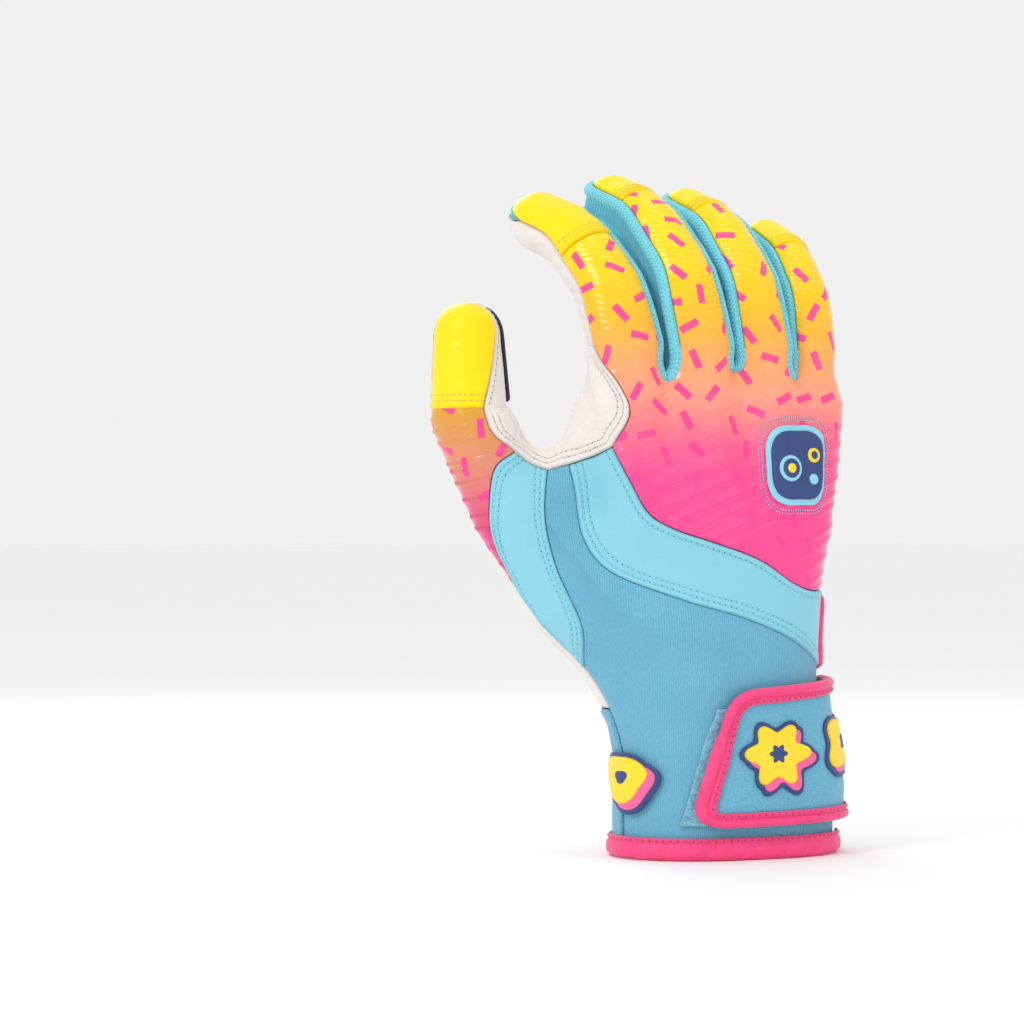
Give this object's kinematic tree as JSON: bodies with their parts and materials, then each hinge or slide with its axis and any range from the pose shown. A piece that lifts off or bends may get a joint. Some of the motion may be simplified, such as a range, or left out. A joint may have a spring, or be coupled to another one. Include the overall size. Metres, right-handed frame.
{
  "type": "batting glove",
  "caption": "Right-hand sports batting glove in a gripping shape: leather palm, printed gel back, mesh finger walls, bound cuff and a hook-and-loop wrist strap that swings open.",
  "frame": {"origin": "centre of the wrist opening, in the plane of the hem", "axes": "+Z from the wrist to the fingers, -Y out of the back of the hand, -X to the thumb"},
  "size_m": [0.147, 0.0808, 0.2393],
  "materials": {
    "palm_leather": "matt goatskin",
    "yellow_gel": "glossy printed gel",
    "pink_gel": "glossy printed gel",
    "cyan_mesh": "matt stretch mesh",
    "light_blue_leather": "satin",
    "blue_stretch": "matt rib knit",
    "pink_binding": "satin bias tape",
    "black_suede": "matt suede",
    "hook_and_loop": "matt pile",
    "navy_rubber": "satin",
    "yellow_rubber": "satin"
  },
  "bodies": {
    "hand": {"back_badge": "navy_rubber", "back_print_panel": "pink_gel", "chevron_band": "light_blue_leather", "crotch_gusset": "palm_leather", "cuff_band": "blue_stretch", "cuff_motif_burst": "yellow_rubber", "cuff_motif_clover": "yellow_rubber", "cuff_motif_shield": "yellow_rubber", "cuff_motif_star": "yellow_rubber", "heel_piping": "palm_leather", "hem_binding": "pink_binding", "index_middle_web": "cyan_mesh", "loop_patch": "hook_and_loop", "middle_ring_web": "cyan_mesh", "palm_leather": "palm_leather", "palm_overlay": "palm_leather", "ring_pinky_web": "cyan_mesh", "stretch_wrist": "blue_stretch", "thumb_back": "pink_gel", "thumb_side_strip": "light_blue_leather", "vent_binding": "pink_binding"},
    "index_finger": {"index_front": "palm_leather", "index_back": "pink_gel", "index_cap": "yellow_gel", "index_mesh_wall": "cyan_mesh"},
    "middle_finger": {"middle_front": "palm_leather", "middle_back": "pink_gel", "middle_cap": "yellow_gel", "middle_mesh_wall": "cyan_mesh"},
    "ring_finger": {"ring_front": "palm_leather", "ring_back": "pink_gel", "ring_cap": "yellow_gel", "ring_mesh_wall": "cyan_mesh"},
    "pinky_finger": {"pinky_front": "palm_leather", "pinky_back": "pink_gel", "pinky_cap": "yellow_gel", "pinky_mesh_wall": "cyan_mesh"},
    "thumb_tip": {"thumb_cap": "yellow_gel", "thumb_front": "palm_leather", "thumb_inner_wall": "palm_leather", "thumb_grip_pad": "black_suede"},
    "wrist_strap": {"strap_panel": "blue_stretch", "strap_binding": "pink_binding", "hook_patch": "hook_and_loop", "strap_motif_star": "yellow_rubber", "strap_motif_clover": "yellow_rubber"}
  },
  "joints": [
    {"name": "index_flex", "type": "hinge", "parent": "hand", "child": "index_finger", "pos_m": [-0.0395, 0.0134, 0.177], "axis": [-1, 0, 0], "range_deg": [0, 40]},
    {"name": "middle_flex", "type": "hinge", "parent": "hand", "child": "middle_finger", "pos_m": [-0.013, 0.0116, 0.177], "axis": [-1, 0, 0], "range_deg": [0, 40]},
    {"name": "ring_flex", "type": "hinge", "parent": "hand", "child": "ring_finger", "pos_m": [0.0123, 0.0115, 0.177], "axis": [-1, 0, 0], "range_deg": [0, 40]},
    {"name": "pinky_flex", "type": "hinge", "parent": "hand", "child": "pinky_finger", "pos_m": [0.0346, 0.013, 0.177], "axis": [-1, 0, 0], "range_deg": [0, 40]},
    {"name": "thumb_flex", "type": "hinge", "parent": "hand", "child": "thumb_tip", "pos_m": [-0.07944, 0.03953, 0.1555], "axis": [-0.8829, 0.4695, 0], "range_deg": [0, 20]},
    {"name": "strap_swing", "type": "hinge", "parent": "hand", "child": "wrist_strap", "pos_m": [0.04182, -0.00214, 0.037], "axis": [-0.1234, 0.0013, 0.9924], "range_deg": [0, 120]}
  ]
}
